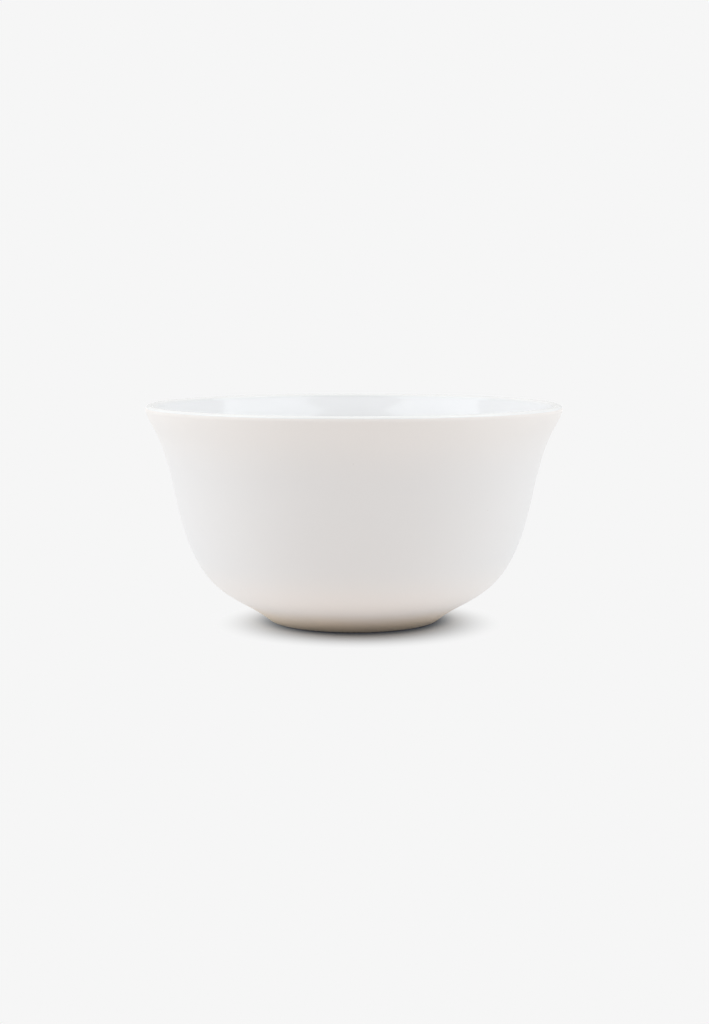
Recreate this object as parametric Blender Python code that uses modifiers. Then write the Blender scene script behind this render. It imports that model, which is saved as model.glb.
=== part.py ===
"""A porcelain shaving bowl: the unglazed turned body and the coat of glaze that lines it.

Both pieces turn about Z. The foot ring stands on Z = 0. Lengths are in metres, angles in degrees.
"""

import math

import bpy
from mathutils import Vector

# Overall sizes
RIM_DIAMETER = 0.1200  # outside of the lip
BOWL_HEIGHT = 0.0627  # table to the top of the lip
FOOT_DIAMETER = 0.0494  # outside of the foot ring, where it meets the table

# Wall: the belly fills out above the foot, turns upright, then flares to the lip
TURN_DIAMETER = 0.1030  # outside of the wall where belly passes into flare
TURN_HEIGHT = 0.0356
FOOT_LEAN = 40.0  # slope of the flank as it leaves the foot, above level
TURN_LEAN = 78.5  # slope of the wall at the turn
LIP_LEAN = 72.0  # slope of the wall as it reaches the lip
WALL_THICKNESS = 0.0034  # at the turn, glaze included
LIP_THICKNESS = 0.0026  # glaze included; the wall thins to this, and the lip is fully rounded
LIP_TAPER = 6  # power of the taper; a higher one keeps the full wall closer up to the lip

# Floor and foot ring
FLOOR_THICKNESS = 0.0046  # at the centre, glaze included
FOOT_RING_WIDTH = 0.0036  # the ring of clay that touches the table
FOOT_EDGE_EASE = 0.0004  # worn-off corner at the outside of the foot ring
RECESS_DEPTH = 0.0016  # underside, inside the foot ring
RECESS_SHOULDER = 0.0020  # width of the soft step up into the recess

# Glaze
GLAZE_THICKNESS = 0.0004
GLAZE_CLEARANCE = 0.0003  # between the coat and the body all over
GLAZE_LINE = 25.0  # where the bare body starts on the lip's round, above level

# How far each curve runs straight before it bends, as a share of that curve's own span
FOOT_PULL = 0.32
BELLY_PULL = 0.68
FLARE_PULL = 0.79
LIP_PULL = 0.24
FLOOR_PULL = 0.54
INNER_BELLY_PULL = 0.46
EASE_PULL = 0.45

# Facets
TURN_STEPS = 80
FLOOR_STEPS = 10
FLARE_STEPS = 6
LIP_STEPS = 8
LIP_STEPS_BARE = 3
BELLY_STEPS = 12
EASE_STEPS = 2
RECESS_STEPS = 5
AXIS_MERGE = 0.000001

BARE_PORCELAIN = (0.730, 0.695, 0.658, 1.0)
WHITE_GLAZE = (0.871, 0.871, 0.885, 1.0)


def heading(degrees):
    """Unit vector in the section, measured up from level."""
    angle = math.radians(degrees)
    return Vector((math.cos(angle), math.sin(angle)))


def outward(travel):
    """The open side of a surface that is drawn from the bowl's floor, over the lip, to its foot."""
    return Vector((-travel.y, travel.x)).normalized()


def curve(start, start_angle, start_pull, end, end_angle, end_pull, steps):
    """Cubic from start to end as (place, open side) stations, leaving and arriving at the given headings."""
    span = (end - start).length
    leave = start + heading(start_angle) * span * start_pull
    arrive = end - heading(end_angle) * span * end_pull
    stations = []
    for step in range(steps + 1):
        t = step / steps
        s = 1.0 - t
        place = s**3 * start + 3 * s**2 * t * leave + 3 * s * t**2 * arrive + t**3 * end
        travel = s**2 * (leave - start) + 2 * s * t * (arrive - leave) + t**2 * (end - arrive)
        stations.append((place, outward(travel)))
    return stations


def round_over(centre, radius, start_angle, end_angle, steps):
    """Arc about centre as (place, open side) stations."""
    stations = []
    for step in range(steps + 1):
        side = heading(start_angle + (end_angle - start_angle) * step / steps)
        stations.append((centre + side * radius, side))
    return stations


def set_back(stations, depth):
    """The same surface, this far below the open side."""
    return [(place - side * depth, side) for place, side in stations]


def lip_radius():
    return LIP_THICKNESS / 2


def lip_centre():
    return Vector((RIM_DIAMETER / 2 - lip_radius(), BOWL_HEIGHT - lip_radius()))


def turn_point():
    return Vector((TURN_DIAMETER / 2, TURN_HEIGHT))


def outer_flare():
    """Outside of the wall, from the lip down to the turn."""
    lip_end = lip_centre() + heading(LIP_LEAN - 90) * lip_radius()
    return curve(
        lip_end, LIP_LEAN + 180, LIP_PULL, turn_point(), TURN_LEAN + 180, FLARE_PULL, FLARE_STEPS
    )


def inner_flare():
    """Inside of the wall, from the turn up to the lip, which the wall thins towards."""
    inside = []
    for step, (place, side) in enumerate(outer_flare()):
        share = 1.0 - (1.0 - step / FLARE_STEPS) ** LIP_TAPER
        thickness = LIP_THICKNESS + (WALL_THICKNESS - LIP_THICKNESS) * share
        inside.append((place - side * thickness, -side))
    return inside[::-1]


def outer_belly():
    """Outside of the wall, from the turn down to the eased edge of the foot."""
    foot_edge = Vector((FOOT_DIAMETER / 2, 0.0)) + heading(FOOT_LEAN) * FOOT_EDGE_EASE
    return curve(
        turn_point(), TURN_LEAN + 180, BELLY_PULL, foot_edge, FOOT_LEAN + 180, FOOT_PULL, BELLY_STEPS
    )


def lining():
    """Finished surface inside the bowl, from the centre of the floor up to the lip."""
    flare = inner_flare()
    centre = Vector((0.0, RECESS_DEPTH + FLOOR_THICKNESS))
    floor = curve(centre, 0.0, FLOOR_PULL, flare[0][0], TURN_LEAN, INNER_BELLY_PULL, FLOOR_STEPS)
    return floor[:-1] + flare


def lip(end_angle, steps):
    """Finished surface of the lip, from the lining over to the given angle on its outer side."""
    return round_over(lip_centre(), lip_radius(), LIP_LEAN + 90, end_angle, steps)


def bare_lip():
    """The lip's round below the glaze line."""
    return round_over(lip_centre(), lip_radius(), GLAZE_LINE, LIP_LEAN - 90, LIP_STEPS_BARE)


def foot():
    """Foot ring and underside, from the eased outer edge in to the axis."""
    outer = FOOT_DIAMETER / 2
    inner = outer - FOOT_RING_WIDTH
    corner = Vector((outer, 0.0))
    ease = curve(
        corner + heading(FOOT_LEAN) * FOOT_EDGE_EASE,
        FOOT_LEAN + 180,
        EASE_PULL,
        corner - Vector((FOOT_EDGE_EASE, 0.0)),
        180.0,
        EASE_PULL,
        EASE_STEPS,
    )
    recess = curve(
        Vector((inner, 0.0)),
        180.0,
        EASE_PULL,
        Vector((inner - RECESS_SHOULDER, RECESS_DEPTH)),
        180.0,
        EASE_PULL,
        RECESS_STEPS,
    )
    underside = (Vector((0.0, RECESS_DEPTH)), Vector((0.0, -1.0)))
    return ease[1:] + recess + [underside]


def body_profile():
    bed = set_back(lining()[:-1] + lip(GLAZE_LINE, LIP_STEPS), GLAZE_THICKNESS + GLAZE_CLEARANCE)
    outside = bare_lip() + outer_flare()[1:] + outer_belly()[1:] + foot()
    return bed + outside


def glaze_profile():
    edge_clearance = math.degrees(GLAZE_CLEARANCE / (lip_radius() - GLAZE_THICKNESS))
    face = lining()[:-1] + lip(GLAZE_LINE + edge_clearance, LIP_STEPS)
    back = set_back(face, GLAZE_THICKNESS)
    return face + back[::-1]


def finish(name, colour, roughness, coat):
    """Material with the colour and gloss of one fired surface."""
    material = bpy.data.materials.new(name)
    material.use_nodes = True
    material.diffuse_color = colour
    shader = material.node_tree.nodes["Principled BSDF"]
    shader.inputs["Base Color"].default_value = colour
    shader.inputs["Roughness"].default_value = roughness
    shader.inputs["Metallic"].default_value = 0.0
    shader.inputs["Coat Weight"].default_value = coat
    return material


def turned(name, stations, material, collection):
    """Solid of revolution about Z; its profile starts and ends on the axis."""
    mesh = bpy.data.meshes.new(name)
    points = [(place.x, 0.0, place.y) for place, _ in stations]
    edges = [(index, index + 1) for index in range(len(points) - 1)]
    mesh.from_pydata(points, edges, [])
    mesh.materials.append(material)
    piece = bpy.data.objects.new(name, mesh)
    collection.objects.link(piece)
    screw = piece.modifiers.new("turn", "SCREW")
    screw.axis = "Z"
    screw.angle = math.radians(360)
    screw.steps = TURN_STEPS
    screw.render_steps = TURN_STEPS
    screw.use_merge_vertices = True
    screw.merge_threshold = AXIS_MERGE
    screw.use_smooth_shade = True
    return piece


def porcelain_body(collection):
    """Bare body: bed for the glaze, lip, wall, foot ring and recessed underside."""
    material = finish("bare_porcelain", BARE_PORCELAIN, 0.75, 0.0)
    return turned("porcelain_body", body_profile(), material, collection)


def inner_glaze(collection):
    """Glossy coat on the floor and wall, carried over the lip to the glaze line."""
    material = finish("white_glaze", WHITE_GLAZE, 0.08, 0.5)
    return turned("inner_glaze", glaze_profile(), material, collection)


def clear_scene():
    for item in list(bpy.data.objects):
        bpy.data.objects.remove(item, do_unlink=True)


def main():
    clear_scene()
    collection = bpy.data.collections.new("shaving_bowl")
    bpy.context.scene.collection.children.link(collection)
    body = porcelain_body(collection)
    glaze = inner_glaze(collection)
    glaze.parent = body


main()
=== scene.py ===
"""A porcelain shaving bowl: bare outside, glazed inside, standing on a plain studio floor.

Laid out as an add-on with one operator for each piece and one for the studio. The packed solids give
the bowl's place and overall size, and the pieces made here take their place in the picture.
Lengths are in metres and angles in radians, unless a name says otherwise.
"""

import math

import bpy
import numpy as np
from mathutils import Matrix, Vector


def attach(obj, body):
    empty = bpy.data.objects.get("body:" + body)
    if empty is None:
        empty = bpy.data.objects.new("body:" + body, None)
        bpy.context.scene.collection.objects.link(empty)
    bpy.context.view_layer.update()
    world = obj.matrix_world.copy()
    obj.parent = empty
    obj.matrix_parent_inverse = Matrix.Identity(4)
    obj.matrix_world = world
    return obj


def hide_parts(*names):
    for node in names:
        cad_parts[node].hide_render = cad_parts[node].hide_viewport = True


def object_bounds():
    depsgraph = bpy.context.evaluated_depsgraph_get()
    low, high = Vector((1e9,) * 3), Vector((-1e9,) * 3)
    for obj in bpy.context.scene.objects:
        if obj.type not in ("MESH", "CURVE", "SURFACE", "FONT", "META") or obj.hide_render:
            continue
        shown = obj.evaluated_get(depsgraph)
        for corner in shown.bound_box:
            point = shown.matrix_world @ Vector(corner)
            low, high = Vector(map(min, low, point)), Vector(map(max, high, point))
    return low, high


bl_info = {
    "name": "Porcelain Shaving Bowl",
    "version": (1, 0, 0),
    "blender": (4, 5, 0),
    "location": "View3D > Sidebar > Shaving Bowl",
    "description": "Builds a footed porcelain shaving bowl, bare outside and glazed inside, with its studio",
    "category": "Add Mesh",
}

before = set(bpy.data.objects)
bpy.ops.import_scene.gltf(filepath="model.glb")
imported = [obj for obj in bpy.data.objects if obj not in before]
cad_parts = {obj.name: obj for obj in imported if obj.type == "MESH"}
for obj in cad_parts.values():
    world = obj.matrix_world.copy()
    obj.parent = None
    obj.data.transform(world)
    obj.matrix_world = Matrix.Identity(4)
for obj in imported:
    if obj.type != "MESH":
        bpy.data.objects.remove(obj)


def as_lists(box):
    """A box's two corners as plain lists of numbers."""
    return [[float(length) for length in corner] for corner in box]


SOLID_BOX = as_lists(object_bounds())
LOWEST, HIGHEST = SOLID_BOX

MM = 0.001
QUARTER = math.pi / 2
HALF = math.pi

# How far each curve of the section runs straight before it bends, as a share of that curve's own span
FOOT_PULL = 0.32
BELLY_PULL = 0.68
FLARE_PULL = 0.79
LIP_PULL = 0.24
FLOOR_PULL = 0.54
INNER_BELLY_PULL = 0.46
EASE_PULL = 0.45
EVEN_PULL = 1 / 3

# Power of the wall's taper to the lip: a higher one keeps the full wall closer up to the lip
LIP_TAPER = 6

# Mesh: columns of faces round the bowl, and rows along each stretch of its section
COLUMNS = 256
LINING_FLOOR_ROWS = 56
LINING_FLARE_ROWS = 36
GLAZED_LIP_ROWS = 30
BEAD_ROWS = 8
FEATHER_ROWS = 4
BED_FLOOR_ROWS = 20
BED_FLARE_ROWS = 12
BED_LIP_ROWS = 12
BARE_LIP_ROWS = 20
OUTER_FLARE_ROWS = 34
OUTER_BELLY_ROWS = 60
FOOT_EASE_ROWS = 6
FOOT_RING_ROWS = 6
SHOULDER_ROWS = 14
UNDERSIDE_ROWS = 16
SHARP_ANGLE = math.radians(50)

# Where the glaze and the bare body meet under the coat's edge
BED_CLEARANCE = 0.05 * MM
EDGE_SINK = 0.02 * MM
BEAD_WIDTH = 0.28 * MM
STEP_UNDER_GLAZE = math.radians(8)
STEP_WIDTH = math.radians(6)

# The glaze's ripples start this far below the lip, and are at their full depth from the second distance on
RIPPLE_START = 2 * MM
RIPPLE_FULL = 8 * MM

# Bare porcelain. A detail is how many finer layers a noise has.
MOTTLE_SIZE = 25 * MM
MOTTLE_DETAIL = 3.0
MOTTLE_DEPTH = 0.03
GRAIN_DETAIL = 3.0
GRAIN_SHADE = 0.02
GRAIN_ROUGHNESS = 0.15
RING_DETAIL = 2.0
DOT_SOFTNESS = 0.35
SPECK_SHARE = 0.45
SPECK_STRENGTH = 0.35
PINHOLE_SPACING = 2.6 * MM
PINHOLE_SHARE = 0.3
PINHOLE_SIZE = 0.25 * MM
PINHOLE_DEPTH = 0.03 * MM
PINHOLE_SHADE = 0.3
PATCHINESS = 3 * MM
# Painted light: how far below the lip the outside is painted lighter and warmer
LIP_PAINTED_LIGHT_REACH = 20 * MM
# Painted light: warm bounce light from the floor, painted lighter and warmer on the belly as it turns under,
# and stronger just above the foot
BELLY_BOUNCE_TOP = 22 * MM
BELLY_BOUNCE_END = 7 * MM
FOOT_BOUNCE_TOP = 7.5 * MM
WEAR_HEIGHT = 0.35 * MM
WEAR_UNEVENNESS = 0.4 * MM
WORN_SHINE = 0.12

# Glaze
GLAZE_IOR = 1.52
GLAZE_MOTTLE_DETAIL = 2.0
GLAZE_MOTTLE_DEPTH = 0.015
DIMPLE_DETAIL = 1.0
SMUDGE_SIZE = 18 * MM
SMUDGE_DETAIL = 4.0
SMUDGE_START = 0.5
SMUDGE_FULL = 0.75
SMUDGE_ROUGHNESS = 0.03
THIN_REACH = 1.2 * MM
THIN_UNEVENNESS = 0.6 * MM
GLAZE_SPECK_SPACING = 11 * MM
GLAZE_SPECK_SHARE = 0.35
GLAZE_SPECK_SIZE = 0.4 * MM
GLAZE_SPECK_STRENGTH = 0.3
GLAZE_SPECK_COLOUR = (0.45, 0.42, 0.40)
GLAZE_PINHOLE_SPACING = 8 * MM

# Studio
WHITE = (1.0, 1.0, 1.0)
NEAREST_VIEW = 10 * MM
AIM = Vector((0.0, 0.0, 30 * MM))
SOFTBOX_HEIGHT = 0.92
SOFTBOX_DISTANCE = 0.9
SOFTBOX_RISE = math.radians(40)
FLOOR_REACH = 3.0
FLOOR_FIRST_RING = 0.02
FLOOR_RINGS = 24
# The floor's shadow: the bowl's real shadow on paper painted darker close by, faded out by a mask whose
# centre is shifted towards the camera
SHADOW_SHIFT = (-1.5 * MM, 7.5 * MM, 0.0)
# Painted contact shadow: the paper darkens between these distances from the axis as it nears the foot
CONTACT_SHADOW_START = 31 * MM
CONTACT_SHADOW_END = 25 * MM
SHADOW_FADE_START = 19.5 * MM
SHADOW_FADE_END = 41.5 * MM

# Slow waves as (lobes round the bowl, length along its section for one radian, phase)
WALL_WAVES = ((2, 0.011, 0.4), (3, 0.017, 2.1), (5, 0.009, 4.4), (1, 0.023, 1.3))
RIM_WAVES = ((2, 1.0, 0.9), (3, 1.0, 3.3), (7, 1.0, 5.1))
LINE_WAVES = ((3, 1.0, 0.2), (8, 1.0, 1.9), (13, 1.0, 4.0))
GLAZE_WAVES = ((9, 0.006, 0.3), (14, 0.004, 2.6), (5, 0.008, 4.9), (21, 0.005, 1.1))

# Power of height by which the rim's unevenness dies out below it
RIM_STRAY_POWER = 3


# Sizes and colours that a user would change


def length(name, description, default):
    """A length property in metres."""
    return bpy.props.FloatProperty(
        name=name, description=description, default=default, min=0.0, unit="LENGTH", precision=5
    )


def lean(name, description, degrees):
    """An angle property, given in degrees."""
    return bpy.props.FloatProperty(
        name=name, description=description, default=math.radians(degrees), unit="ROTATION"
    )


def amount(name, description, default, most=1.0):
    """A plain number from nothing up to the most."""
    return bpy.props.FloatProperty(
        name=name, description=description, default=default, min=0.0, max=most
    )


def tint(name, description, default):
    """A colour property, as linear red, green and blue."""
    return bpy.props.FloatVectorProperty(
        name=name, description=description, default=default, min=0.0, max=4.0, size=3, subtype="COLOR"
    )


def glows(name, description, default):
    """Five brightnesses: on the left, right, in front, behind and above."""
    return bpy.props.FloatVectorProperty(name=name, description=description, default=default, size=5)


class BowlShape(bpy.types.PropertyGroup):
    """Section of the bowl, from the centre of its floor, over the lip, to its foot."""

    rim_diameter: length("Rim", "Across the outside of the lip", HIGHEST[0] - LOWEST[0])
    height: length("Height", "Table to the top of the lip", HIGHEST[2] - LOWEST[2])
    foot_diameter: length("Foot", "Across the foot ring, where it meets the table", 49.4 * MM)
    turn_diameter: length("Turn", "Across the wall where the belly passes into the flare", 103.0 * MM)
    turn_height: length("Turn height", "Table to the turn of the wall", 35.6 * MM)
    foot_lean: lean("Foot lean", "Slope of the flank as it leaves the foot", 40.0)
    turn_lean: lean("Turn lean", "Slope of the wall at the turn", 78.5)
    lip_lean: lean("Lip lean", "Slope of the wall as it reaches the lip", 72.0)
    lip: length("Lip", "Thickness of the lip with its glaze", 2.6 * MM)
    wall: length("Wall", "Thickness of the wall at the turn with its glaze", 3.4 * MM)
    floor: length("Floor", "Thickness of the floor at the centre, with its glaze", 4.6 * MM)
    ring_width: length("Foot ring", "Width of the ring that touches the table", 3.6 * MM)
    foot_ease: length("Foot ease", "Worn-off corner at the outside of the foot ring", 0.4 * MM)
    recess_depth: length("Recess", "Depth of the underside inside the foot ring", 1.6 * MM)
    recess_shoulder: length("Recess shoulder", "Width of the step up into the recess", 2.0 * MM)
    unevenness: length("Unevenness", "How far the wall strays from true, inwards", 0.06 * MM)


class GlazeCoat(bpy.types.PropertyGroup):
    """The coat of glaze and where it ends."""

    thickness: length("Thickness", "Thickness of the coat", 0.4 * MM)
    stands_proud: length("Stands proud", "How far the coat's edge stands off the bare lip", 0.08 * MM)
    line: lean("Glaze line", "Where the coat ends on the lip's round", 27.0)
    line_wander: lean("Wander", "How far the glaze line wanders up and down", 6.0)
    ripple: length("Ripple", "Depth of the slow ripples in the glaze", 0.05 * MM)
    colour: tint("Colour", "Colour of the glaze", (0.862, 0.850, 0.845))
    thin_colour: tint("Thin colour", "Colour where the glaze thins over the lip", (0.895, 0.870, 0.840))
    roughness: amount("Roughness", "Roughness of the glaze", 0.045)
    dimple_size: length("Dimple size", "Width of the fine dimples in the glaze", 3.0 * MM)
    dimple_depth: length("Dimple depth", "Depth of the fine dimples in the glaze", 0.0015 * MM)


class BareClay(bpy.types.PropertyGroup):
    """The unglazed porcelain."""

    colour: tint("Colour", "Colour of the fired body", (0.789, 0.748, 0.724))
    # Painted light, partly warmer tone: the outside is painted lighter and warmer just below the lip, where
    # more light falls on the top of the wall
    lip_painted_light_colour: tint("Colour under the lip", "Colour just below the lip", (0.840, 0.778, 0.735))
    # Painted light: warm bounce light painted on the belly and, stronger, just above the foot, where the real
    # shade under the bowl is deepest
    belly_painted_bounce_colour: tint("Colour of the belly", "Colour where the belly turns under", (0.846, 0.770, 0.720))
    foot_painted_bounce_colour: tint("Colour of the foot", "Colour just above the foot ring", (0.955, 0.775, 0.592))
    worn_colour: tint("Worn colour", "Colour of the ring that touches the table", (0.560, 0.530, 0.490))
    speck_colour: tint("Speck colour", "Colour of the iron specks", (0.46, 0.42, 0.38))
    roughness: amount("Roughness", "Roughness of the fired body", 0.62)
    speck_size: length("Speck size", "Width of the largest specks", 0.6 * MM)
    speck_spacing: length("Speck spacing", "Typical distance between specks", 4.6 * MM)
    grain_size: length("Grain size", "Width of the fine grain", 0.5 * MM)
    grain_depth: length("Grain depth", "Depth of the fine grain", 0.006 * MM)
    ring_spacing: length("Ring spacing", "Distance between the faint turning lines", 1.1 * MM)
    ring_depth: length("Ring depth", "Depth of the faint turning lines", 0.004 * MM)


class Studio(bpy.types.PropertyGroup):
    """Floor, lights and camera."""

    backdrop: tint("Backdrop", "Brightness of the plain floor and backdrop", (0.9216, 0.9216, 0.9216))
    # Painted shade: the paper near the bowl is painted darker than the open floor, which deepens the bowl's
    # real shadow on it
    painted_shade_floor_colour: tint("Floor", "Colour of the floor where the bowl shades it", (0.432, 0.430, 0.428))
    # Painted contact shadow: the paper against the foot is painted darker still
    painted_contact_shadow_colour: tint("Contact", "Colour of the floor against the foot", (0.200, 0.226, 0.264))
    left_turn: lean("Left softbox turn", "From the camera's side round to the left softbox", 73.0)
    left_width: length("Left softbox width", "Width of the left softbox", 0.83)
    left_glow: amount("Left softbox glow", "Brightness of the left softbox", 1.34, most=100.0)
    right_turn: lean("Right softbox turn", "From the camera's side round to the right softbox", 74.5)
    right_width: length("Right softbox width", "Width of the right softbox", 0.92)
    right_glow: amount("Right softbox glow", "Brightness of the right softbox", 1.37, most=100.0)
    side_tone: tint("Side tone", "Tone of the light from both sides", (0.945, 1.0, 1.04))
    room_glow: glows("Room glow", "Left, right, in front, behind and above", (1.14, 0.84, 0.25, 0.80, 0.65))
    floor_glow: glows("Floor glow", "Left, right, in front, behind and above", (1.03, 1.03, 0.99, 1.00, 0.0))
    camera_distance: length("Camera distance", "Camera to the bowl's axis, along the table", 0.506)
    camera_height: length("Camera height", "Table to the camera", 0.0908)
    camera_pitch: lean("Camera pitch", "How far the camera looks down", 6.73)
    camera_offset: length("Camera offset", "Camera to the right of the bowl's axis", 0.17 * MM)
    focal_length: amount("Focal length", "Lens in millimetres", 61.47, most=500.0)


# The bowl's section. A stretch holds rows of stations from the floor, over the lip, towards the foot, and
# columns round the bowl. One column stands for all of them where the section is the same all round.


def heading(angle):
    """Unit vector in the section, measured up from level. A list of angles gives a vector for each."""
    return np.stack([np.cos(angle), np.sin(angle)], axis=-1)


def eased(value, start, end):
    """0 at start and beyond, 1 at end and beyond, with a smooth step between."""
    t = np.clip((value - start) / (end - start), 0.0, 1.0)
    return t * t * (3.0 - 2.0 * t)


class Stretch:
    """Part of the bowl's surface: places as (distance from the axis, height), and the open side at each."""

    def __init__(self, places, sides):
        full = (len(places), COLUMNS, 2)
        self.places = np.broadcast_to(places, full)
        self.sides = np.broadcast_to(sides, full)

    def __add__(self, other):
        """Joined end to end, where the other stretch starts with this one's last station."""
        return self.stepped_to(Stretch(other.places[1:], other.sides[1:]))

    def stepped_to(self, other):
        """Joined with a step from this stretch's last station to the other's first."""
        return Stretch(np.vstack([self.places, other.places]), np.vstack([self.sides, other.sides]))

    def set_back(self, depth):
        """The same surface, this far below its open side."""
        return Stretch(self.places - self.sides * depth, self.sides)

    def drawn_back(self):
        """The same places in the other order, with the open side changed over."""
        return Stretch(self.places[::-1], -self.sides[::-1])


def curve(start, start_angle, start_pull, end, end_angle, end_pull, rows):
    """Cubic between two points that leaves and arrives at the given headings.

    A pull is how far the curve runs straight before it bends, as a share of its span."""
    start = np.asarray(start, float)
    end = np.asarray(end, float)
    span = np.linalg.norm(end - start)
    leave = start + heading(start_angle) * span * start_pull
    arrive = end - heading(end_angle) * span * end_pull
    t = np.linspace(0.0, 1.0, rows + 1)[:, None, None]
    s = 1.0 - t
    places = s**3 * start + 3 * s**2 * t * leave + 3 * s * t**2 * arrive + t**3 * end
    travel = s**2 * (leave - start) + 2 * s * t * (arrive - leave) + t**2 * (end - arrive)
    sides = np.stack([-travel[..., 1], travel[..., 0]], axis=-1)
    return Stretch(places, sides / np.linalg.norm(sides, axis=-1, keepdims=True))


def straight(start, end, rows):
    """Straight stretch between two points."""
    travel = np.subtract(end, start)
    angle = math.atan2(travel[1], travel[0])
    return curve(start, angle, EVEN_PULL, end, angle, EVEN_PULL, rows)


def lip_centre(shape):
    """Centre of the lip's round."""
    radius = shape.lip / 2
    return np.array([shape.rim_diameter / 2 - radius, shape.height - radius])


def lip_round(shape, start, end, rows, depth=0.0):
    """The lip between two angles on its round, set back by a depth.

    The end may have a value for each column, and the depth one for each row."""
    along = np.linspace(0.0, 1.0, rows + 1)[:, None]
    sides = heading(start + (np.reshape(end, (1, -1)) - start) * along)
    radius = shape.lip / 2 - np.reshape(depth, (-1, 1, 1))
    return Stretch(lip_centre(shape) + sides * radius, sides)


def turn_point(shape):
    """Outside of the wall where the belly passes into the flare."""
    return np.array([shape.turn_diameter / 2, shape.turn_height])


def outer_flare(shape, rows):
    """Outside of the wall, from the lip down to the turn."""
    arrive = shape.turn_lean + HALF
    leave = shape.lip_lean + HALF
    lip_end = lip_centre(shape) + heading(shape.lip_lean - QUARTER) * shape.lip / 2
    return curve(lip_end, leave, LIP_PULL, turn_point(shape), arrive, FLARE_PULL, rows)


def inner_flare(shape, rows):
    """Inside of the wall, from the turn up to the lip, which the wall thins towards."""
    share = (1.0 - np.linspace(1.0, 0.0, rows + 1) ** LIP_TAPER).reshape(-1, 1, 1)
    return outer_flare(shape, rows).set_back(shape.lip + (shape.wall - shape.lip) * share).drawn_back()


def foot_edge(shape):
    """Where the flank meets the eased edge of the foot ring."""
    return np.array([shape.foot_diameter / 2, 0.0]) + heading(shape.foot_lean) * shape.foot_ease


def outer_belly(shape, rows):
    """Outside of the wall, from the turn down to the eased edge of the foot."""
    leave = shape.turn_lean + HALF
    arrive = shape.foot_lean + HALF
    return curve(turn_point(shape), leave, BELLY_PULL, foot_edge(shape), arrive, FOOT_PULL, rows)


def lining(shape, floor_rows, flare_rows):
    """Finished surface inside the bowl, from the centre of the floor up to the lip."""
    flare = inner_flare(shape, flare_rows)
    centre = (0.0, shape.recess_depth + shape.floor)
    wall_start = flare.places[0, 0]
    floor = curve(centre, 0.0, FLOOR_PULL, wall_start, shape.turn_lean, INNER_BELLY_PULL, floor_rows)
    return floor + flare


def foot(shape):
    """Foot ring and recessed underside, from the eased outer edge in to the axis."""
    outer = shape.foot_diameter / 2
    inner = outer - shape.ring_width
    land_start = (outer - shape.foot_ease, 0.0)
    land_end = (inner, 0.0)
    ceiling = (inner - shape.recess_shoulder, shape.recess_depth)
    leave = shape.foot_lean + HALF
    ease = curve(foot_edge(shape), leave, EASE_PULL, land_start, HALF, EASE_PULL, FOOT_EASE_ROWS)
    step_up = curve(land_end, HALF, EASE_PULL, ceiling, HALF, EASE_PULL, SHOULDER_ROWS)
    to_axis = straight(ceiling, (0.0, shape.recess_depth), UNDERSIDE_ROWS)
    return ease + straight(land_start, land_end, FOOT_RING_ROWS) + step_up + to_axis


def bed(shape, coat):
    """Finished surface as far as the step under the coat's edge.

    The body's bed and the back of the coat are both set back from it."""
    lip_end = step_angle(coat) + STEP_WIDTH
    lip = lip_round(shape, shape.lip_lean + QUARTER, lip_end, BED_LIP_ROWS)
    return lining(shape, BED_FLOOR_ROWS, BED_FLARE_ROWS) + lip


def body_section(shape, coat):
    """Bare body: a bed under the glaze, the lip, the outside wall, the foot ring and the underside."""
    step = step_angle(coat)
    bare_end = shape.lip_lean - QUARTER
    angles = np.linspace(step, bare_end, BARE_LIP_ROWS + 1)
    below_glaze = coat.stands_proud * eased(angles, bare_end, step)
    bare = lip_round(shape, step, bare_end, BARE_LIP_ROWS, below_glaze)
    wall = outer_flare(shape, OUTER_FLARE_ROWS) + outer_belly(shape, OUTER_BELLY_ROWS)
    return bed(shape, coat).set_back(coat.thickness + BED_CLEARANCE).stepped_to(bare + wall + foot(shape))


def glaze_section(shape, coat):
    """Coat of glaze: its face up to a rounded edge at the glaze line, and its back against the body."""
    edge = coat.line + coat.line_wander * (waves(column_angles(), 0.0, LINE_WAVES) - 0.5)
    bead_start = edge + BEAD_WIDTH / (shape.lip / 2)
    lip = lip_round(shape, shape.lip_lean + QUARTER, bead_start, GLAZED_LIP_ROWS)
    face = rippled(shape, coat, lining(shape, LINING_FLOOR_ROWS, LINING_FLARE_ROWS)) + lip
    edge_depth = coat.stands_proud + EDGE_SINK
    roundness = 1.0 - np.sqrt(1.0 - np.linspace(0.0, 1.0, BEAD_ROWS + 1) ** 2)
    bead = lip_round(shape, bead_start, edge, BEAD_ROWS, edge_depth * roundness)
    feather = lip_round(shape, step_angle(coat), edge, FEATHER_ROWS, edge_depth)
    underneath = Stretch(feather.places[:-1], feather.sides[:-1])
    back = bed(shape, coat).set_back(coat.thickness).stepped_to(underneath)
    return (face + bead).stepped_to(back.drawn_back())


def step_angle(coat):
    """Where the bare lip starts, a little way under the coat's edge all round."""
    return coat.line + coat.line_wander + STEP_UNDER_GLAZE


def rippled(shape, coat, face):
    """The lining with the slow ripples of a poured glaze, which die out towards the lip."""
    along = face.places.sum(axis=-1)
    height = face.places[..., 1]
    fading = eased(height, shape.height - RIPPLE_START, shape.height - RIPPLE_FULL)
    depth = coat.ripple * waves(column_angles(), along, GLAZE_WAVES) * fading
    return face.set_back(depth[..., None])


# Turning a section into a mesh


def column_angles():
    """Direction of each column round the bowl."""
    return np.arange(COLUMNS) * 2 * math.pi / COLUMNS


def waves(around, along, seed):
    """Slow unevenness between 0 and 1, made of a few waves that close on themselves round the bowl."""
    total = sum(np.sin(lobes * around + along / reach + phase) for lobes, reach, phase in seed)
    return 0.5 + 0.5 * total / len(seed)


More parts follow.
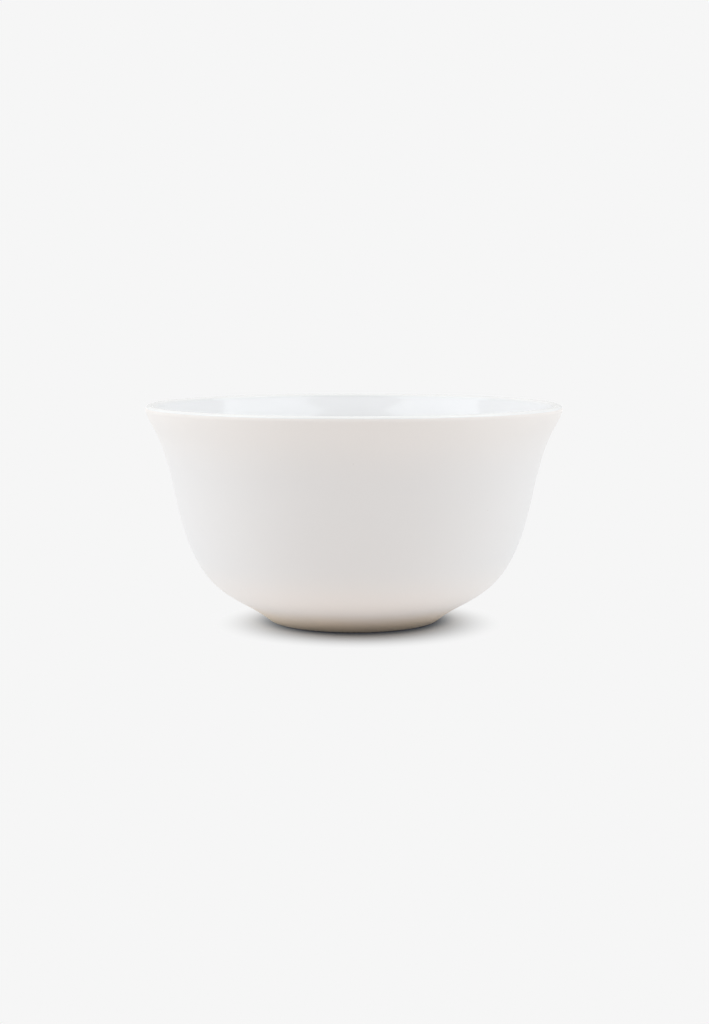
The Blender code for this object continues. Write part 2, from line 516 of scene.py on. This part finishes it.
def finished_by_hand(shape, places):
    """Distances and heights of a section, moved inwards by the small unevenness of a real bowl."""
    around = column_angles()
    distance, height = places[..., 0], places[..., 1]
    towards_rim = distance / (shape.rim_diameter / 2)
    wall_stray = shape.unevenness * waves(around, height, WALL_WAVES) * towards_rim
    rim_stray = shape.unevenness * waves(around, 0.0, RIM_WAVES) * (height / shape.height) ** RIM_STRAY_POWER
    return distance - wall_stray, height - rim_stray


def faces_from_axis(ring_count):
    """Faces from a first corner on the axis out over every ring, and the last ring's pairs of corners."""
    here = 1 + np.arange(ring_count * COLUMNS).reshape(-1, COLUMNS)
    beside = np.roll(here, -1, axis=1)
    bands = np.stack([here[:-1], here[1:], beside[1:], beside[:-1]], axis=-1).reshape(-1, 4)
    fan = [(0, a, b) for a, b in zip(here[0].tolist(), beside[0].tolist())]
    return fan + bands.tolist(), zip(here[-1].tolist(), beside[-1].tolist())


def turned(name, shape, section, material):
    """Closed mesh of a section whose first and last stations lie on the axis."""
    distance, height = finished_by_hand(shape, section.places)
    around = column_angles()
    rings = np.stack([distance * np.cos(around), distance * np.sin(around), height], axis=-1)[1:-1]
    start, end = (0.0, 0.0, height[0].mean()), (0.0, 0.0, height[-1].mean())
    corners = [start, *rings.reshape(-1, 3).tolist(), end]
    faces, last_ring = faces_from_axis(len(rings))
    last_fan = [(a, len(corners) - 1, b) for a, b in last_ring]
    mesh = bpy.data.meshes.new(name)
    mesh.from_pydata(corners, [], faces + last_fan)
    mesh.shade_smooth()
    mesh.set_sharp_from_angle(angle=SHARP_ANGLE)
    mesh.materials.append(material)
    piece = bpy.data.objects.new(name, mesh)
    bpy.context.scene.collection.objects.link(piece)
    return piece


# Materials


class Signal:
    """A shader socket that takes part in sums; each sum adds its own Math node."""

    def __init__(self, finish, socket):
        self.finish = finish
        self.socket = socket

    def __add__(self, other):
        return self.finish.maths("ADD", self, other)

    def __sub__(self, other):
        return self.finish.maths("SUBTRACT", self, other)

    def __rsub__(self, other):
        return self.finish.maths("SUBTRACT", other, self)

    def __mul__(self, other):
        return self.finish.maths("MULTIPLY", self, other)

    __radd__ = __add__
    __rmul__ = __mul__


class Finish:
    """A material or world put together from nodes, up to the node that it ends in."""

    def __init__(self, owner, last):
        owner.use_nodes = True
        self.tree = owner.node_tree
        self.last = self.tree.nodes[last]

    def set(self, socket, value):
        """Gives a socket a link, a colour or a value."""
        if isinstance(value, Signal):
            self.tree.links.new(value.socket, socket)
        elif socket.type == "RGBA":
            socket.default_value = (*value, 1.0)
        else:
            socket.default_value = value

    def give(self, name, value):
        """Gives one of the last node's own sockets a link, a colour or a value."""
        self.set(self.last.inputs[name], value)

    def add(self, kind, settings, sockets):
        """Adds a node, makes its settings, then its sockets by name or place. Gives its outputs by name."""
        node = self.tree.nodes.new(kind)
        for name, value in settings.items():
            setattr(node, name, value)
        inputs = {socket.name: socket for socket in node.inputs if socket.enabled}
        inputs.update(enumerate(node.inputs))
        for name, value in sockets.items():
            self.set(inputs[name], value)
        return {socket.name: Signal(self, socket) for socket in node.outputs if socket.enabled}

    def maths(self, operation, first, second):
        """One sum on two values."""
        return self.add("ShaderNodeMath", {"operation": operation}, {0: first, 1: second})["Value"]

    def blend(self, share, first, second):
        """A colour that goes from the first to the second as the share goes from 0 to 1."""
        sockets = {"Factor": share, "A": first, "B": second}
        return self.add("ShaderNodeMix", {"data_type": "RGBA"}, sockets)["Result"]

    def step(self, value, start, end, low=0.0, high=1.0):
        """Goes smoothly from low to high as the value goes from start to end."""
        settings = {"interpolation_type": "SMOOTHSTEP"}
        sockets = {"Value": value, "From Min": start, "From Max": end, "To Min": low, "To Max": high}
        return self.add("ShaderNodeMapRange", settings, sockets)["Result"]

    def noise(self, place, size, detail):
        """Cloudy noise between 0 and 1, with features of about this size."""
        sockets = {"Vector": place, "Scale": 1 / size, "Detail": detail}
        return self.add("ShaderNodeTexNoise", {}, sockets)["Fac"]

    def rings(self, along, spacing):
        """Uneven rings round the bowl between 0 and 1, about this far apart along its section."""
        sockets = {"W": along, "Scale": 1 / spacing, "Detail": RING_DETAIL}
        return self.add("ShaderNodeTexNoise", {"noise_dimensions": "1D"}, sockets)["Fac"]

    def dots(self, place, spacing, share, widest):
        """Mask of scattered round dots, in this share of the cells and up to this wide."""
        cells = self.add("ShaderNodeTexVoronoi", {}, {"Vector": place, "Scale": 1 / spacing})
        lots = self.add("ShaderNodeSeparateColor", {}, {"Color": cells["Color"]})
        reach = self.step(lots["Red"], 1.0 - share, 1.0) * (widest / 2)
        away = cells["Distance"] * spacing
        return self.step(away - reach, 0.0, -DOT_SOFTNESS * widest)

    def places(self):
        """Place on the bowl, distance from its axis and height above the table."""
        place = self.add("ShaderNodeTexCoord", {}, {})["Object"]
        axes = self.add("ShaderNodeSeparateXYZ", {}, {"Vector": place})
        squares = axes["X"] * axes["X"] + axes["Y"] * axes["Y"]
        return place, self.maths("POWER", squares, 0.5), axes["Z"]

    def vector(self, operation, first, second):
        """One sum on vectors or colours. A sum on one vector has no second."""
        sockets = {0: first} if second is None else {0: first, 1: second}
        return self.add("ShaderNodeVectorMath", {"operation": operation}, sockets)

    def shaded(self, colour, brightness):
        """A colour made lighter or darker by a factor."""
        settings = {"operation": "SCALE"}
        return self.add("ShaderNodeVectorMath", settings, {"Vector": colour, "Scale": brightness})["Vector"]

    def glow_towards(self, direction, glow, side_tone):
        """Glow by direction, from the left, right, front, behind and above. The sides have their own tone."""
        axes = self.add("ShaderNodeSeparateXYZ", {}, {"Vector": direction})
        ways = (-1.0 * axes["X"], axes["X"], -1.0 * axes["Y"], axes["Y"], axes["Z"])
        total = 0.0
        for share, way in zip(glow, ways):
            facing = self.maths("MAXIMUM", way, 0.0)
            total = facing * facing * share + total
        tone = self.blend(axes["X"] * axes["X"], WHITE, side_tone)
        return self.shaded(tone, total)

    def seen_as(self, colour, glow):
        """One colour to the camera, and a glow to everything that it lights."""
        seen = self.add("ShaderNodeLightPath", {}, {})["Is Camera Ray"]
        return self.blend(seen, glow, colour)

    def relief(self, height):
        """Small relief for the shader's normal, given as a height in metres."""
        sockets = {"Strength": 1.0, "Distance": 1.0, "Height": height}
        return self.add("ShaderNodeBump", {}, sockets)["Normal"]


def bare_porcelain(shape, clay):
    """Fired porcelain without glaze: fine grain, specks, pinholes, turning lines and a worn foot ring.
    Painted light makes it lighter and warmer just below the lip, and paints warm bounce light on the belly
    and above the foot.
    """
    material = bpy.data.materials.new("bare_porcelain")
    finish = Finish(material, "Principled BSDF")
    place, distance, height = finish.places()
    along = distance + height
    mottle = finish.noise(place, MOTTLE_SIZE, MOTTLE_DETAIL) - 0.5
    grain = finish.noise(place, clay.grain_size, GRAIN_DETAIL) - 0.5
    rings = finish.rings(along, clay.ring_spacing) - 0.5
    specks = finish.dots(place, clay.speck_spacing, SPECK_SHARE, clay.speck_size)
    pinholes = finish.dots(place, PINHOLE_SPACING, PINHOLE_SHARE, PINHOLE_SIZE)
    patchy_height = height + mottle * PATCHINESS
    # Painted light: a lighter, warmer band just below the lip
    lip_painted_light = finish.step(patchy_height, shape.height - LIP_PAINTED_LIGHT_REACH, shape.height)
    # Painted light: warm bounce light on the belly and just above the foot
    belly = finish.step(patchy_height, BELLY_BOUNCE_TOP, BELLY_BOUNCE_END)
    foot_painted_bounce = finish.step(patchy_height, FOOT_BOUNCE_TOP, 0.0)
    worn = finish.step(height + mottle * WEAR_UNEVENNESS, WEAR_HEIGHT, 0.0)

    colour = finish.blend(lip_painted_light, clay.colour, clay.lip_painted_light_colour)
    colour = finish.blend(belly, colour, clay.belly_painted_bounce_colour)
    colour = finish.blend(foot_painted_bounce, colour, clay.foot_painted_bounce_colour)
    colour = finish.blend(worn, colour, clay.worn_colour)
    colour = finish.blend(specks * SPECK_STRENGTH, colour, clay.speck_colour)
    colour = finish.blend(pinholes * PINHOLE_SHADE, colour, clay.worn_colour)
    finish.give("Base Color", finish.shaded(colour, 1.0 + mottle * MOTTLE_DEPTH + grain * GRAIN_SHADE))
    finish.give("Roughness", clay.roughness + grain * GRAIN_ROUGHNESS - worn * WORN_SHINE)
    bumps = grain * clay.grain_depth + rings * clay.ring_depth - pinholes * PINHOLE_DEPTH
    finish.give("Normal", finish.relief(bumps))
    return material


def white_glaze(shape, coat):
    """Clear glossy glaze over white porcelain: fine dimples, a few pinholes and a thinner, warmer lip."""
    material = bpy.data.materials.new("white_glaze")
    finish = Finish(material, "Principled BSDF")
    place, distance, height = finish.places()
    mottle = finish.noise(place, MOTTLE_SIZE, GLAZE_MOTTLE_DETAIL) - 0.5
    smudge = finish.step(finish.noise(place, SMUDGE_SIZE, SMUDGE_DETAIL), SMUDGE_START, SMUDGE_FULL)
    dimples = finish.noise(place, coat.dimple_size, DIMPLE_DETAIL) - 0.5
    specks = finish.dots(place, GLAZE_SPECK_SPACING, GLAZE_SPECK_SHARE, GLAZE_SPECK_SIZE)
    pinholes = finish.dots(place, GLAZE_PINHOLE_SPACING, PINHOLE_SHARE, PINHOLE_SIZE)
    on_lip = finish.step(height + mottle * THIN_UNEVENNESS, shape.height - THIN_REACH, shape.height)

    colour = finish.blend(on_lip, coat.colour, coat.thin_colour)
    colour = finish.blend(specks * GLAZE_SPECK_STRENGTH, colour, GLAZE_SPECK_COLOUR)
    finish.give("Base Color", finish.shaded(colour, 1.0 + mottle * GLAZE_MOTTLE_DEPTH))
    finish.give("Roughness", coat.roughness + smudge * SMUDGE_ROUGHNESS)
    finish.give("IOR", GLAZE_IOR)
    finish.give("Normal", finish.relief(dimples * coat.dimple_depth - pinholes * PINHOLE_DEPTH))
    return material


# Studio


def turned_floor(studio):
    """Plain pale floor, round so that its edge is the same from everywhere."""
    around = column_angles()
    corners = [(0.0, 0.0, 0.0)]
    for reach in np.geomspace(FLOOR_FIRST_RING, FLOOR_REACH, FLOOR_RINGS):
        corners += [(reach * math.cos(a), reach * math.sin(a), 0.0) for a in around]
    faces, _ = faces_from_axis(FLOOR_RINGS)
    mesh = bpy.data.meshes.new("studio_floor")
    mesh.from_pydata(corners, [], faces)
    mesh.materials.append(floor_finish(studio))
    return mesh


def floor_finish(studio):
    """Paper that takes the bowl's real shadow close by, painted darker there as painted shade to deepen it,
    and glows evenly farther out.
    """
    material = bpy.data.materials.new("studio_floor")
    finish = Finish(material, "Material Output")
    place = finish.add("ShaderNodeTexCoord", {}, {})["Object"]
    shaded = finish.vector("ADD", place, SHADOW_SHIFT)["Vector"]
    # Mask from the shadowed, darker painted paper near the bowl to the even glow farther out, which ends the
    # shadow
    farness = finish.step(finish.vector("LENGTH", shaded, None)["Value"], SHADOW_FADE_START, SHADOW_FADE_END)
    # Painted contact shadow: darker paper against the foot
    close = finish.step(finish.vector("LENGTH", place, None)["Value"], CONTACT_SHADOW_START, CONTACT_SHADOW_END)
    paper = finish.blend(close, studio.painted_shade_floor_colour, studio.painted_contact_shadow_colour)
    sockets = {"Base Color": paper, "Roughness": 1.0, "Specular IOR Level": 0.0}
    near = finish.add("ShaderNodeBsdfPrincipled", {}, sockets)["BSDF"]
    outwards = finish.vector("NORMALIZE", place, None)["Vector"]
    glow = finish.glow_towards(outwards, studio.floor_glow, studio.side_tone)
    far = finish.add("ShaderNodeEmission", {}, {"Color": finish.seen_as(studio.backdrop, glow)})["Emission"]
    finish.give("Surface", finish.add("ShaderNodeMixShader", {}, {0: farness, 1: near, 2: far})["Shader"])
    return material


def room(studio):
    """Even backdrop for the camera, and a soft room for the bowl to reflect and be lit by."""
    world = bpy.data.worlds.new("studio_room")
    finish = Finish(world, "Background")
    direction = finish.add("ShaderNodeTexCoord", {}, {})["Generated"]
    glow = finish.glow_towards(direction, studio.room_glow, studio.side_tone)
    finish.give("Color", finish.seen_as(studio.backdrop, glow))
    return world


def aimed(turn, rise, distance):
    """Place at an angle round the bowl from the camera's side and above level, and a rotation to face it."""
    level = distance * math.cos(rise)
    place = Vector((level * math.sin(turn), -level * math.cos(turn), distance * math.sin(rise)))
    return place + AIM, (-place).to_track_quat("-Z", "Y").to_euler()


def softbox(name, turn, width, glow, tone):
    """Broad rectangular light facing the bowl."""
    light = bpy.data.lights.new(name, "AREA")
    light.shape = "RECTANGLE"
    light.size = width
    light.size_y = SOFTBOX_HEIGHT
    light.energy = glow * math.pi * width * SOFTBOX_HEIGHT
    light.color = tone
    lamp = bpy.data.objects.new(name, light)
    lamp.location, lamp.rotation_euler = aimed(turn, SOFTBOX_RISE, SOFTBOX_DISTANCE)
    lamp.visible_camera = False
    bpy.context.scene.collection.objects.link(lamp)


def camera(studio):
    """Camera in front of the bowl, a little above its lip."""
    lens = bpy.data.cameras.new("camera")
    lens.lens = studio.focal_length
    lens.clip_start = NEAREST_VIEW
    view = bpy.data.objects.new("camera", lens)
    view.location = (studio.camera_offset, -studio.camera_distance, studio.camera_height)
    view.rotation_euler = (QUARTER - studio.camera_pitch, 0.0, 0.0)
    bpy.context.scene.collection.objects.link(view)
    bpy.context.scene.camera = view


# Operators


class SHAVINGBOWL_OT_body(bpy.types.Operator):
    """Adds the bare porcelain body"""

    bl_idname = "shaving_bowl.body"
    bl_label = "Bare Body"

    def execute(self, context):
        shape = context.scene.bowl_shape
        material = bare_porcelain(shape, context.scene.bowl_clay)
        section = body_section(shape, context.scene.bowl_glaze)
        body = turned("bare_body", shape, section, material)
        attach(body, "root")
        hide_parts("porcelain_body")
        return {"FINISHED"}


class SHAVINGBOWL_OT_glaze(bpy.types.Operator):
    """Adds the glaze on the inside and over the lip"""

    bl_idname = "shaving_bowl.glaze"
    bl_label = "Inner Glaze"

    def execute(self, context):
        shape = context.scene.bowl_shape
        coat = context.scene.bowl_glaze
        glaze = turned("glaze_coat", shape, glaze_section(shape, coat), white_glaze(shape, coat))
        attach(glaze, "root")
        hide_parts("inner_glaze")
        return {"FINISHED"}


class SHAVINGBOWL_OT_studio(bpy.types.Operator):
    """Adds the floor, the room, two softboxes and the camera"""

    bl_idname = "shaving_bowl.studio"
    bl_label = "Studio"

    def execute(self, context):
        studio = context.scene.bowl_studio
        floor = bpy.data.objects.new("studio_floor", turned_floor(studio))
        context.scene.collection.objects.link(floor)
        context.scene.world = room(studio)
        softbox("softbox_left", -studio.left_turn, studio.left_width, studio.left_glow, studio.side_tone)
        softbox("softbox_right", studio.right_turn, studio.right_width, studio.right_glow, studio.side_tone)
        camera(studio)
        context.scene.view_settings.view_transform = "Standard"
        return {"FINISHED"}


class SHAVINGBOWL_PT_panel(bpy.types.Panel):
    """Sizes and colours of the bowl, and the steps that build it"""

    bl_idname = "SHAVINGBOWL_PT_panel"
    bl_label = "Shaving Bowl"
    bl_space_type = "VIEW_3D"
    bl_region_type = "UI"
    bl_category = "Shaving Bowl"

    def draw(self, context):
        for step in STEPS:
            self.layout.operator(step.bl_idname)
        for name, group in GROUPS.items():
            box = self.layout.box()
            box.label(text=group.__doc__)
            for value in group.__annotations__:
                box.prop(getattr(context.scene, name), value)


GROUPS = {
    "bowl_shape": BowlShape,
    "bowl_glaze": GlazeCoat,
    "bowl_clay": BareClay,
    "bowl_studio": Studio,
}
STEPS = (SHAVINGBOWL_OT_body, SHAVINGBOWL_OT_glaze, SHAVINGBOWL_OT_studio)


def register():
    for item in (*GROUPS.values(), *STEPS, SHAVINGBOWL_PT_panel):
        bpy.utils.register_class(item)
    for name, group in GROUPS.items():
        setattr(bpy.types.Scene, name, bpy.props.PointerProperty(type=group))


def unregister():
    for name in GROUPS:
        delattr(bpy.types.Scene, name)
    for item in (*GROUPS.values(), *STEPS, SHAVINGBOWL_PT_panel):
        bpy.utils.unregister_class(item)


def main():
    register()
    bpy.ops.shaving_bowl.body()
    bpy.ops.shaving_bowl.glaze()
    bpy.ops.shaving_bowl.studio()


if __name__ == "__main__":
    main()
